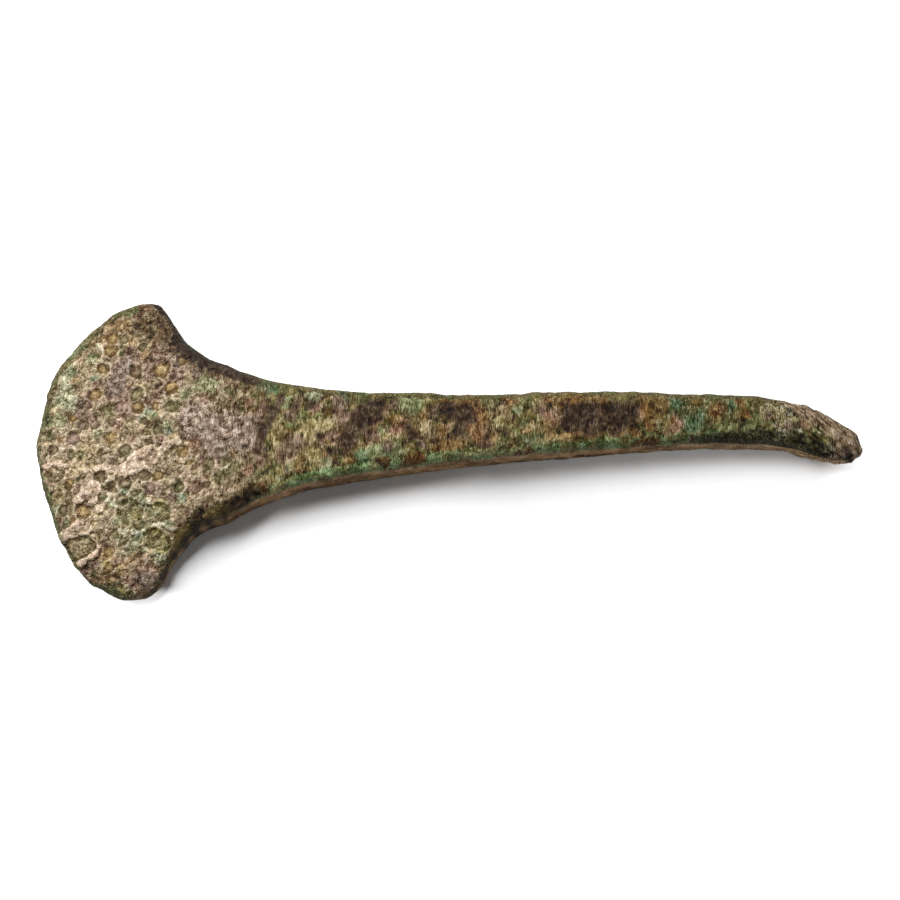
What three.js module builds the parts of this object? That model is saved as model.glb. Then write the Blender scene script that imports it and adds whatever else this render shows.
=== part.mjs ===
// A bronze age chisel: one solid bronze casting, with a fan blade, a neck, a tapering shank and a bent butt.
// Millimetres. The blade points to -X and the butt to +X. It lies on its flat underside, with +Z up.
// The origin is on the ground, below the middle of the chisel's box.
import * as THREE from "three";

// Lengths along the chisel, measured on its middle line
const bladeLength = 51.5;
const shankLength = 68;
const buttLength = 20.5;

// Widths seen from above
const bladeWidth = 51.6;
const neckWidth = 14.9;
const buttWidth = 8.5;

// Heights of the top face above the ground
const neckThickness = 9.4;
const buttThickness = 7.2;

// The cutting edge: how far its middle stands out before the horns, and how high its underside lifts
const edgeBulge = 17.2;
const edgeLift = 1.25;
const edgeTurn = THREE.MathUtils.degToRad(3);

// The middle line isn't straight: the neck and shank lie beside the blade's axis, and the butt bends back
const neckOffset = 1.9;
const shankOffset = 2.8;
const buttBend = 5.3;
const buttTurn = THREE.MathUtils.degToRad(45);
const buttLift = 1.3;

// The long edges: a rounded bevel above, wider on the -Y side of the butt, and a small round below
const bevelWidth = 2;
const bevelDrop = 2.2;
const buttBevelWidth = 3.2;
const undersideRound = 0.6;

// The face is crowned a little across its width
const faceCrown = 0.25;

// Spacing of the cross lines along the chisel
const stationStep = 2.2;

// Cross lines of the blade, from the cutting edge to the neck:
// [along, flare, bulge, top, lift, turn, offset], as shares of
// [bladeLength, bladeWidth over neckWidth, edgeBulge, neckThickness, edgeLift, edgeTurn, neckOffset]
const bladeShares = [
  [0.0, 1.0, 1.0, 0.21, 1.0, 1.0, 0.0],
  [0.01, 0.995, 1.02, 0.28, 0.64, 0.75, 0.0],
  [0.023, 0.99, 1.02, 0.32, 0.54, 0.55, 0.0],
  [0.076, 0.955, 0.96, 0.39, 0.4, 0.4, 0.05],
  [0.149, 0.8, 0.855, 0.48, 0.28, 0.35, 0.05],
  [0.235, 0.593, 0.72, 0.575, 0.16, 0.15, 0.27],
  [0.347, 0.431, 0.575, 0.69, 0.06, 0.0, 0.45],
  [0.482, 0.319, 0.42, 0.82, 0.0, 0.0, 0.48],
  [0.644, 0.176, 0.28, 0.925, 0.0, 0.0, 0.57],
  [0.816, 0.069, 0.157, 0.99, 0.0, 0.0, 0.8],
  [1.0, 0.0, 0.06, 1.0, 0.0, 0.0, 1.0],
];

// Cross lines of the shank after the neck:
// [along, taper, offset], as shares of [shankLength, buttWidth under neckWidth, shankOffset]
const shankShares = [
  [0.125, 0.23, 0.15],
  [0.3, 0.53, 0.375],
  [0.55, 0.67, 0.755],
  [0.8, 0.91, 0.98],
  [1.0, 1.0, 1.0],
];

// Cross lines of the butt after the shank:
// [along, width, bend, turn, top, lift, bevel], as shares of
// [buttLength, buttWidth, buttBend, buttTurn, buttThickness, buttLift, buttBevelWidth over bevelWidth]
const buttShares = [
  [0.36, 0.93, 0.13, 0.07, 0.945, 0.0, 0.5],
  [0.583, 0.91, 0.35, 0.27, 0.875, 0.0, 1.0],
  [0.76, 0.79, 0.645, 0.55, 0.79, 0.1, 1.0],
  [0.883, 0.61, 0.85, 0.78, 0.72, 0.3, 0.6],
  [0.956, 0.34, 0.96, 0.93, 0.64, 0.6, 0.3],
  [0.995, 0.1, 1.0, 1.0, 0.555, 1.0, 0.0],
];

// The cutting edge's curve: [across, bulge], from the -Y horn to the +Y horn
const edgeCurveShares = [
  [0.0, 0.0],
  [0.015, 0.16],
  [0.04, 0.315],
  [0.09, 0.52],
  [0.2, 0.73],
  [0.31, 0.855],
  [0.42, 0.945],
  [0.5, 1.0],
  [0.6, 0.955],
  [0.71, 0.885],
  [0.82, 0.71],
  [0.93, 0.42],
  [0.98, 0.2],
  [1.0, 0.0],
];

// Where the bevel's points lie on its width, how many steps the face between the bevels has,
// and how square the bevel's curve is: 1 is a straight chamfer and 2 a quarter round
const bevelStepShares = [0, 0.12, 0.35, 0.65, 1];
const faceSteps = 14;
const bevelPower = 1.6;

// A bevel takes at most this share of a narrow cross line, or of its thickness
const bevelLimitShare = 0.36;
const dropLimitShare = 0.5;
const roundLimitShare = 0.25;

// A smooth curve through rows whose first number is the place along it
function smoothRows(rows) {
  const places = rows.map((row) => row[0]);
  const values = rows.flatMap((row) => row.slice(1));
  const interpolant = new THREE.CubicInterpolant(places, values, rows[0].length - 1);
  return (place) => Array.from(interpolant.evaluate(place));
}

const edgeCurve = smoothRows(edgeCurveShares);

// Every cross line as [along, offset, width, turn, bulge, top, base, lower bevel]
function allStations() {
  const blade = bladeShares.map(([along, flare, bulge, top, lift, turn, offset]) => [
    along * bladeLength,
    offset * neckOffset,
    neckWidth + flare * (bladeWidth - neckWidth),
    turn * edgeTurn,
    bulge * edgeBulge,
    top * neckThickness,
    lift * edgeLift,
    bevelWidth,
  ]);
  const shank = shankShares.map(([along, taper, offset]) => [
    bladeLength + along * shankLength,
    neckOffset + offset * shankOffset,
    neckWidth + taper * (buttWidth - neckWidth),
    0,
    0,
    neckThickness + along * (buttThickness - neckThickness),
    0,
    bevelWidth,
  ]);
  const butt = buttShares.map(([along, width, bend, turn, top, lift, bevel]) => [
    bladeLength + shankLength + along * buttLength,
    neckOffset + shankOffset - bend * buttBend,
    width * buttWidth,
    turn * buttTurn,
    0,
    top * buttThickness,
    lift * buttLift,
    bevelWidth + bevel * (buttBevelWidth - bevelWidth),
  ]);
  return [...blade, ...shank, ...butt];
}

// The line of one cross section seen from above, from the -Y side to the +Y side
class StationLine extends THREE.Curve {
  constructor(along, offset, width, turn, bulge) {
    super();
    this.width = width;
    this.bulge = bulge;
    this.centre = new THREE.Vector2(along + bulge, offset);
    this.across = new THREE.Vector2(Math.sin(turn), Math.cos(turn));
    this.forward = new THREE.Vector2(-Math.cos(turn), Math.sin(turn));
  }

  getPoint(share, target = new THREE.Vector2()) {
    const [bulgeShare] = edgeCurve(share);
    target.copy(this.centre);
    target.addScaledVector(this.across, (share - 1 / 2) * this.width);
    return target.addScaledVector(this.forward, bulgeShare * this.bulge);
  }
}

// How far a rounded edge has fallen at a distance from the side
function edgeFall(distance, width, drop) {
  if (distance >= width) return 0;
  const inside = (1 - distance / width) ** bevelPower;
  return drop * (1 - (1 - inside) ** (1 / bevelPower));
}

// Distances from the -Y side at which one cross line has points
function acrossDistances(length, lowerBevel, upperBevel) {
  const lower = bevelStepShares.map((share) => share * lowerBevel);
  const upper = bevelStepShares.map((share) => length - share * upperBevel).reverse();
  const faceLength = length - lowerBevel - upperBevel;
  const face = [];
  for (let step = 1; step < faceSteps; step += 1) {
    face.push(lowerBevel + (faceLength * step) / faceSteps);
  }
  return [...lower, ...face, ...upper];
}

// One closed ring of points: the top from -Y to +Y, then the underside back
function stationRing([along, offset, width, turn, bulge, top, base, lowerWidth]) {
  const line = new StationLine(along, offset, width, turn, bulge);
  const length = line.getLength();
  const thickness = top - base;
  const lowerBevel = Math.min(lowerWidth, length * bevelLimitShare);
  const upperBevel = Math.min(bevelWidth, length * bevelLimitShare);
  const drop = Math.min(bevelDrop, thickness * dropLimitShare);
  const round = Math.min(undersideRound, thickness * roundLimitShare, length * bevelLimitShare);
  const topPoints = [];
  const basePoints = [];
  for (const distance of acrossDistances(length, lowerBevel, upperBevel)) {
    const place = line.getPointAt(distance / length);
    const fromSide = Math.min(distance, length - distance);
    const bevel = distance < length / 2 ? lowerBevel : upperBevel;
    const crown = faceCrown * (fromSide / length) * (thickness / neckThickness);
    const topHeight = top - faceCrown / 2 + crown - edgeFall(fromSide, bevel, drop);
    const baseHeight = base + edgeFall(fromSide, round, round);
    topPoints.push(new THREE.Vector3(place.x, place.y, topHeight));
    basePoints.push(new THREE.Vector3(place.x, place.y, baseHeight));
  }
  return [...topPoints, ...basePoints.reverse()];
}

// The rings of the whole chisel, evenly spaced between the tables' cross lines
function chiselRings() {
  const stations = allStations();
  const station = smoothRows(stations);
  const rings = [];
  stations.slice(0, -1).forEach(([start], index) => {
    const end = stations[index + 1][0];
    const steps = Math.ceil((end - start) / stationStep);
    for (let step = 0; step < steps; step += 1) {
      const along = start + ((end - start) * step) / steps;
      rings.push(stationRing([along, ...station(along)]));
    }
  });
  rings.push(stationRing(stations[stations.length - 1]));
  return rings;
}

// Joins the rings into one closed body, and closes the cutting edge and the butt end
function chiselGeometry() {
  const rings = chiselRings();
  const ringSize = rings[0].length;
  const triangles = [];
  const addQuad = (a, b, c, d) => triangles.push(a, b, c, a, c, d);
  for (let ring = 0; ring < rings.length - 1; ring += 1) {
    for (let point = 0; point < ringSize; point += 1) {
      const next = (point + 1) % ringSize;
      const here = ring * ringSize;
      const after = here + ringSize;
      addQuad(here + point, after + point, after + next, here + next);
    }
  }
  const lastRing = (rings.length - 1) * ringSize;
  for (let point = 0; point < ringSize / 2 - 1; point += 1) {
    const opposite = ringSize - 1 - point;
    addQuad(point, point + 1, opposite - 1, opposite);
    addQuad(lastRing + point, lastRing + opposite, lastRing + opposite - 1, lastRing + point + 1);
  }
  const geometry = new THREE.BufferGeometry().setFromPoints(rings.flat());
  geometry.setIndex(triangles);
  geometry.computeBoundingBox();
  const middle = geometry.boundingBox.getCenter(new THREE.Vector3());
  geometry.translate(-middle.x, -middle.y, -geometry.boundingBox.min.z);
  geometry.computeVertexNormals();
  return geometry;
}

// Bronze under a grey-brown and green crust, with little metal showing
const patinatedBronze = new THREE.MeshStandardMaterial({
  color: 0x76694f,
  roughness: 0.85,
  metalness: 0.1,
});

const chiselCasting = new THREE.Mesh(chiselGeometry(), patinatedBronze);
chiselCasting.name = "chisel_casting";

const chisel = new THREE.Group();
chisel.add(chiselCasting);

export default chisel;
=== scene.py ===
import math
import random

import bpy
import numpy as np
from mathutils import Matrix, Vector, kdtree, noise


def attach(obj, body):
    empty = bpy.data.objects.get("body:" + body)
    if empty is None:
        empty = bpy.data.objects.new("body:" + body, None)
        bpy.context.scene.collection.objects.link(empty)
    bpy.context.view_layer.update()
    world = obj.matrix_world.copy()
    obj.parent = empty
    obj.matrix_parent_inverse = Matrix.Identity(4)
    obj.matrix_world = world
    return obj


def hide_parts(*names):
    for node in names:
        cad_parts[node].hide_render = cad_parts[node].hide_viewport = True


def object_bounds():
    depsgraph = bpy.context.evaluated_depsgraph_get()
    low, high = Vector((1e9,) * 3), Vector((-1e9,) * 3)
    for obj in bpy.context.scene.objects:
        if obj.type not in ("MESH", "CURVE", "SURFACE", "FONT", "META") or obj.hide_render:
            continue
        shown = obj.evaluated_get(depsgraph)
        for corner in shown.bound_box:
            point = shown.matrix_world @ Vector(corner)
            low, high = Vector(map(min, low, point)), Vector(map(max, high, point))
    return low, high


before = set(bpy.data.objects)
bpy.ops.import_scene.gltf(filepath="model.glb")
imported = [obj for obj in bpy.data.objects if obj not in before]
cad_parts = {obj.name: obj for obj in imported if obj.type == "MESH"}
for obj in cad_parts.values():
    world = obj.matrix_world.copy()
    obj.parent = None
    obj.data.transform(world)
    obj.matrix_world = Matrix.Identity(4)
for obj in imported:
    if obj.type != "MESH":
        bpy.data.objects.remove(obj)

cad_low, cad_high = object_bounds()

# The chisel: one solid bronze casting, with a flat face, bevelled long edges and a blunt cutting edge.
# Corrosion has eaten the metal and left a crust that has partly flaked off, so the skin is pitted,
# ringed with blisters and uneven all over. The crust is part of the casting and can't be taken off.
MM = 0.001

coarse_cell = 0.49 * MM
weld_distance = 0.001 * MM
smooth_factor = 0.5
smooth_rounds = 6

# Slopes: how far a normal points up, from 1 on the face through 0 on a wall to -1 on the underside
underside_slope = -0.5
outline_slope = 0.25

casting = bpy.data.objects.new("chisel_bronze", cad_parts["chisel_casting"].data.copy())
bpy.context.scene.collection.objects.link(casting)
bpy.ops.object.select_all(action="DESELECT")
casting.select_set(True)
bpy.context.view_layer.objects.active = casting


def apply_modifier(piece, kind, **settings):
    """Adds a modifier to the active piece and applies it."""
    modifier = piece.modifiers.new(kind.lower(), kind)
    for name, value in settings.items():
        setattr(modifier, name, value)
    bpy.ops.object.modifier_apply(modifier=modifier.name)


bpy.ops.object.mode_set(mode="EDIT")
bpy.ops.mesh.select_all(action="SELECT")
bpy.ops.mesh.remove_doubles(threshold=weld_distance)
bpy.ops.object.mode_set(mode="OBJECT")
apply_modifier(casting, "REMESH", mode="VOXEL", voxel_size=coarse_cell)

# Faces that show are cut finer than the underside
bpy.ops.object.mode_set(mode="EDIT")
bpy.ops.mesh.select_all(action="DESELECT")
bpy.ops.object.mode_set(mode="OBJECT")
for face in casting.data.polygons:
    face.select = face.normal.z > underside_slope
bpy.ops.object.mode_set(mode="EDIT")
bpy.ops.mesh.subdivide(number_cuts=1)
bpy.ops.object.mode_set(mode="OBJECT")
apply_modifier(casting, "SHRINKWRAP", target=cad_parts["chisel_casting"])
apply_modifier(casting, "SMOOTH", factor=smooth_factor, iterations=smooth_rounds)


def read_vertices(piece, name):
    values = np.zeros(len(piece.data.vertices) * 3, np.float32)
    piece.data.vertices.foreach_get(name, values)
    return values.reshape(-1, 3).astype(float)


def soft_step(low, high, value):
    """0 below low, 1 above high, and a smooth rise between."""
    share = np.clip((value - low) / (high - low), 0, 1)
    return share * share * (3 - 2 * share)


skin = read_vertices(casting, "co") / MM
outward = read_vertices(casting, "normal")
along, across, height = skin.T


def grain(size, octaves, seed, points=skin, stretch=(1, 1, 1)):
    """Fractal noise on the skin, about -1 to 1, with lumps of that size in millimetres."""
    seed_distance = 17.3
    fall_off = 1.0
    octave_ratio = 2.0
    scaled = points / (size * np.array(stretch)) + seed * seed_distance
    return np.array([noise.fractal(p, fall_off, octave_ratio, octaves) for p in scaled])


# Each pair is where one kind of skin gives way to the next: slopes, and places along in millimetres
face_slopes = (0.1, 0.5)
underside_slopes = (0.35, 0.8)
wall_slopes = (0.2, 0.5)
blade_end = (-39, -29)
butt_start = (53, 61)

facing_up = soft_step(*face_slopes, outward[:, 2])
facing_down = soft_step(*underside_slopes, -outward[:, 2])
side_wall = 1 - soft_step(*wall_slopes, np.abs(outward[:, 2]))
on_blade = 1 - soft_step(*blade_end, along)
on_butt = soft_step(*butt_start, along)

# How far each point of the skin lies inside the outline seen from above, and which way that side faces
outline = [index for index, slope in enumerate(np.abs(outward[:, 2])) if slope < outline_slope]
outline_tree = kdtree.KDTree(len(outline))
for index in outline:
    outline_tree.insert((along[index], across[index], 0), index)
outline_tree.balance()
nearest = [outline_tree.find((x, y, 0))[1:] for x, y in zip(along, across)]
inset = np.array([distance for _, distance in nearest])
side_facing = outward[[index for index, _ in nearest]][:, :2]
side_facing /= np.linalg.norm(side_facing, axis=1)[:, None]
to_tip, to_top = -side_facing[:, 0], side_facing[:, 1]

# Shapes on the face are warped by noise, so that no outline is a clean circle: shifts in millimetres
coarse_shift = 0.4
fine_shift = 0.16
inset_coarse_shift = 0.5
inset_fine_shift = 0.3
coarse_warp = [grain(size=2.4, octaves=3, seed=seed) for seed in (1, 3)]
fine_warp = [grain(size=0.7, octaves=2, seed=seed) for seed in (2, 4)]
face_x = along + coarse_shift * coarse_warp[0] + fine_shift * fine_warp[0]
face_y = across + coarse_shift * coarse_warp[1] + fine_shift * fine_warp[1]
ragged_inset = inset + inset_coarse_shift * coarse_warp[0] + inset_fine_shift * fine_warp[1]


def blobs(spots, where=facing_up):
    """Height of blobs that melt together: 1 in their middles and 0.37 at their radius, in millimetres."""
    highest = 1.3
    total = np.zeros(len(skin))
    for x, y, radius in spots:
        total += np.exp(-((face_x - x) ** 2 + (face_y - y) ** 2) / radius**2)
    return np.minimum(total, highest) * where


# Round pits through the crust, in the colours of their floors: x, y and radius in millimetres
amber_domes = [
    (-57.6, 16.9, 1.2), (-57.1, 18.8, 1), (-58.6, 13.7, 1.1), (-48.6, 13, 1.45), (-57.2, 1.5, 1.05),
    (-52.4, 6.7, 1.2), (-59.8, 9, 1.2), (-61.6, -11, 1.25), (-49.1, -5.2, 1), (-63.7, 5.4, 0.8),
    (-46.8, 9.9, 1.25), (-43.4, -3, 0.8), (-45.3, 14.6, 0.9), (-49.5, 6.8, 0.9), (-63.9, -6.1, 0.95),
    (-57, -17.9, 1), (-54.4, -2.9, 0.6), (-44.7, -1.3, 1), (-57, -20.4, 1),
]
green_pits = [
    (-63.7, -1.2, 0.7), (-49.1, 2.7, 1.1), (-46.9, 6.5, 1.1), (-45.1, -7.2, 1.05), (-58, 6.4, 1),
    (-56, -14.6, 0.9), (-54.9, -16.1, 1), (-52.1, -15.7, 0.7), (-54.6, -1, 1.1), (-58.5, -8.4, 0.9),
    (-52.8, 8.9, 1.4), (-45.7, 3.1, 1), (-55.3, 18.8, 1), (-40.3, -3.5, 1.1), (-37.6, -3.1, 1),
    (-52.2, 17.2, 0.9), (-55.4, -8.9, 1.2),
]
mauve_rings = [
    (-59.5, 3.8, 0.95), (-62.1, 3.8, 0.85), (-63.5, 1.6, 1.3), (-55.8, 6.9, 1.1), (-47.2, -4.7, 0.7),
    (-57, -2.6, 0.6), (-50.1, -7.4, 1.05),
]
brown_pits = [
    (-58.7, -5, 1.3), (-51, -5, 1.1), (-53, 13, 1.3), (-51.2, 4.2, 0.8), (-50.3, 0.3, 0.85),
    (-58.9, -1.1, 0.7), (-61.7, -4.9, 0.6), (-55.4, -5.6, 0.7), (-52.8, -5.4, 0.75), (-54.5, -6.6, 1),
    (-56.8, -6.5, 0.8), (-60.7, -8.8, 0.7), (-65.1, -10.6, 1), (-44.8, 0.6, 0.5), (-62.3, -2, 0.4),
    (-41.9, -7.6, 0.6), (-40.7, -7, 0.7), (-39.9, 7.6, 0.6), (-59.7, 18.9, 0.6), (-55.8, 11.9, 0.5),
    (-36.6, -2.2, 0.7), (-66.9, -0.2, 0.8),
]
# Hollows where a large flake of crust has come away
hollows = [
    (-63, -17, 1.9), (-61, -16.8, 1.6), (-64.4, -17.9, 1.2), (-53.8, -11, 2.2), (-51.9, -12.3, 1.6),
    (-48.5, -11.3, 1.8), (-49.8, -15.9, 1.7), (-47.8, -16.3, 1.2), (-67, -4.5, 1.2), (-65.9, -4.3, 0.9),
]
# Plates of thick pink crust with scalloped edges
crust_plates = [
    (-59.2, -3.6, 0.5), (-58.1, -3.5, 0.6), (-56.6, -3.9, 0.8), (-55.3, -4.3, 0.85), (-54, -4.2, 1.1),
    (-52.9, -3.2, 1.25), (-51.8, -2.2, 1.4), (-50.4, -2, 1.35), (-49.4, -1.1, 1), (-50.8, -3, 0.8),
    (-68.6, -3, 0.5), (-67.7, -2.6, 0.5), (-66.7, -2.4, 0.5), (-65.7, -2.4, 0.5), (-64.7, -2.8, 0.45),
    (-62.6, -7.1, 0.95), (-61.6, -6.6, 0.95), (-60.4, -6.7, 0.9), (-59.4, -6.8, 0.8), (-61.4, -7.6, 0.8),
    (-54.2, -3.8, 0.8), (-47.4, -0.3, 0.9), (-45.6, 0.6, 0.8), (-62.4, -8.8, 0.9), (-60.2, -8.7, 0.9),
    (-58.7, -10.4, 0.8), (-62.5, -13.6, 1.15), (-61, -13.9, 1), (-63.8, -14.3, 0.9), (-65.4, -15, 0.8),
]
# A curled lip of crust across a hollow near the lower horn, and pale ledges beside the other hollows
crust_lip = [
    (-58.9, -17, 0.45), (-59.5, -17.8, 0.5), (-60.2, -18.5, 0.55), (-61.1, -19.1, 0.6),
    (-61.9, -19.6, 0.6),
]
pale_ledges = [
    (-55.2, -14.2, 0.4), (-54.2, -14.5, 0.45), (-53.2, -14.6, 0.4), (-52.2, -14.4, 0.4),
    (-51.2, -14.2, 0.4), (-49.4, -13.4, 0.5), (-48.4, -13.6, 0.5), (-47.3, -13.9, 0.5),
    (-46.2, -14.2, 0.45), (-50.4, -9.4, 0.5), (-50.8, -10.5, 0.45), (-57.4, -8.2, 0.5),
    (-57.9, -9.2, 0.5),
]


def srgb(red, green, blue):
    """A colour from its 0 to 255 screen values."""
    def linear(value):
        share = value / 255
        return share / 12.92 if share <= 0.04045 else ((share + 0.055) / 1.055) ** 2.4
    return (linear(red), linear(green), linear(blue), 1.0)


# Stains of the crust in the order in which they are laid: colour, and x, y and radius of the spots
stains = {}
stains["dust"] = srgb(190, 172, 142), [
    (-57, -3, 4.5), (-52, -9, 3.5), (-63, -2, 3.5), (-50, -2, 3.5), (-65, 8, 2.8), (-58, -11.5, 3.5),
    (-43, 3, 3.5), (-46, -7, 2.5), (-47, 6, 2.5), (-60, 4, 2), (-66, 3, 2.5), (-44, 9, 2),
]
stains["cream"] = srgb(194, 174, 136), [
    (-65.5, 9, 1.8), (-67, 7, 1.4), (-66.3, 11.5, 1.2), (-61.5, 0, 2.2), (-60.5, -2.2, 1.8),
    (-63.2, -3.6, 1.3), (-58.5, -11, 1), (-59.7, -12.8, 1.1), (-43.6, 12.2, 1), (-45.2, 9.4, 1.1),
    (-62, 13.8, 1.1), (-56, 0.4, 1.2), (-47, -0.6, 1.4), (-44.4, -9, 1.1), (-66.5, -9, 1),
    (-55.6, -16.8, 0.9), (-59.3, -15.2, 0.9), (-46.8, -13.6, 1), (-51.5, 10.5, 1), (-48.8, 6.4, 1),
    (-67.8, 0.5, 1), (-60.9, -1, 1.2), (-50.8, 3.5, 1.7), (-45.7, 2.4, 1.4), (-65.8, -7.5, 1.2),
    (-52.4, -13.6, 1.4), (-31.8, 7, 1.2), (-28.2, -1.3, 1.4), (-21.1, 3, 1.4), (-19.4, 0.2, 1.2),
    (7, 3.1, 1), (-59.2, 14.4, 0.9), (-35.4, -4.2, 1.4), (15.5, 6.8, 1), (-42.8, -0.1, 1.5),
    (-44.6, 1.2, 1.7), (-50.8, -2.2, 1.4), (-16.2, 3.1, 1.2), (-16.8, 0.7, 1), (-26.2, -3.8, 1.2),
    (-4.1, 2.5, 1.2), (0.5, 2.6, 1), (16.3, 3, 1.2), (9.5, 5.4, 1.4), (13.4, 2.6, 1),
]
stains["mint"] = srgb(180, 184, 150), [
    (-64.4, 12.6, 1.5), (-65.1, 10.2, 1.2), (-66.5, 8.1, 1.2), (-64.1, 7.9, 1.5), (-62.4, 7.1, 1.4),
    (-59.7, 18.3, 1), (-48.3, -17, 1.4), (-48.5, -19.2, 1.2), (-56.3, 10.7, 1), (-18.5, 7, 1.2),
    (-22.6, 8, 1.2), (-20.9, -3.4, 1.4), (13.8, 0.6, 1.2), (1.2, -2.1, 1.2), (35, 3.5, 0.8),
    (-53.8, -11.8, 1), (-50.4, -13.2, 1), (-66.5, -10.2, 1), (-64.6, -12.6, 1), (-52.6, -15.6, 0.9),
    (-55.2, -15.6, 1), (-53.4, -17.2, 1), (-50.6, -17.4, 1), (-56.2, -9.4, 0.9), (-51.6, -9.6, 0.9),
]
stains["sage"] = srgb(148, 156, 114), [
    (-66, 5, 1.4), (-68.3, 4.6, 0.9), (-41.5, 10.5, 1.8), (-39.8, 10, 1.2), (-44.5, 8.5, 1.2),
    (-48, -11.2, 1.5), (-50.2, -11, 1), (-60.4, 15.6, 1.2), (-64.4, 14, 1), (-51, -14.8, 1.2),
    (-55.4, -12.4, 1.1), (-50, 5.4, 0.9), (-47.6, 3.6, 0.9), (-59, 2.4, 0.9), (-57, -9.6, 0.9),
    (-28.4, -6.4, 1.1), (-26.6, -4.2, 1), (-14.4, -2.8, 1.7), (-12.6, -1.4, 1.3), (-9, -1.3, 1.7),
    (-11.4, 2, 1.1), (-5.8, 6, 1.9), (-8.2, 7, 1.1), (-27.6, 6.6, 1.2), (11.2, 6, 1.2), (18.2, 0.4, 0.9),
    (29.8, 1.2, 1.1), (33.4, 2.2, 0.9), (48, 2.8, 0.9), (8, 3.6, 0.8),
]
stains["moss"] = srgb(98, 100, 60), [
    (-53.6, -9.6, 1.9), (-52, -8.4, 1), (-49.8, 3.2, 1.1), (-46.2, 6.6, 1.2), (-45.4, -7, 1.2),
    (-58, -6.6, 1), (-38.6, -5.6, 1.1), (-36.4, -4.2, 1.5), (-33.4, -4.6, 1.4), (-48.4, -17.2, 1.3),
    (-52.6, -17.6, 1.1), (-50, 22.6, 2.3), (-48.4, 21.6, 1.5), (-55.6, 16.8, 1.2), (-57, -23.6, 1.5),
    (-54, -25, 1.5), (-57.6, 6.6, 1.1), (-52.8, 7.6, 1.1), (-62.2, -1.2, 0.8), (-36.6, 9, 1.3),
    (-33, 7.6, 1.3), (-30.2, 4.2, 0.9), (-25.6, 7.4, 1.2), (-14.6, 7.4, 1.3), (-20.4, 6.8, 0.9),
    (9.8, 1, 1), (12.4, 3.6, 1.1), (7, 7.2, 1.6), (36.8, 5.2, 1.3), (38.8, 6.6, 1.5), (41.2, 3.8, 1.9),
    (43.4, 2.6, 1.4), (40.6, 6, 1.3), (47, 3.6, 1.3), (43.6, 6.8, 1.1), (51, 3.4, 1.1), (38.4, 2, 1),
    (60.6, 7.2, 0.8), (50, 1.8, 1.2), (30.4, 7.9, 0.8), (59.8, 7.2, 0.7), (-65.1, 15.2, 1),
    (-63.8, 16.9, 1), (-62, 18.2, 1), (-60.4, 19.6, 1), (-45.7, -8.9, 1.2), (-47.1, -9.9, 1.2),
    (-62.1, -6.2, 1.2), (-67.5, 2.3, 1.2), (-8.3, -1.3, 1.2), (8.7, -0.8, 1.2), (12.4, 0.6, 1.4),
    (14.1, 1.3, 1.2), (47.8, 1.9, 1.2), (-66.1, 13.5, 1),
]
stains["verdigris"] = srgb(84, 112, 80), [
    (41, 3.3, 1.4), (44.7, 1.5, 1.2), (47.4, 7, 1.2), (46.1, 6.3, 1.2), (-18, 8, 1.2), (-31.3, 9.8, 1.2),
    (38.4, 6.8, 1.2), (42.6, 4.6, 1), (-29.4, 9, 1), (-14.8, -2.8, 1.4), (-10.4, -1.2, 1.2),
    (39.3, 3.7, 1.2), (34, 1, 1), (19.9, -0.3, 1), (30.8, 0.2, 1.2),
]
stains["lime"] = srgb(172, 164, 94), [
    (-49.5, -14.3, 1.2), (-53, -11.9, 0.9), (-48.6, -10.1, 1.2), (-57.6, -19.4, 0.9), (-55, -20.6, 0.8),
    (-54.8, -24, 0.9), (-48.2, -17.4, 1.1), (-47.8, -15.6, 1),
]
stains["pale_teal"] = srgb(146, 166, 136), [
    (-52.3, -14.5, 1), (-51.4, -12.9, 0.8), (-47.2, -13.6, 1), (-54.6, -7.4, 0.9), (-58.6, 13.6, 0.9),
    (-60.2, 12, 0.8), (-51.6, 4.6, 0.9), (-50.6, 6.4, 0.8), (-47.4, 2.2, 0.9), (-44.6, -9, 0.9),
]
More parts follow.
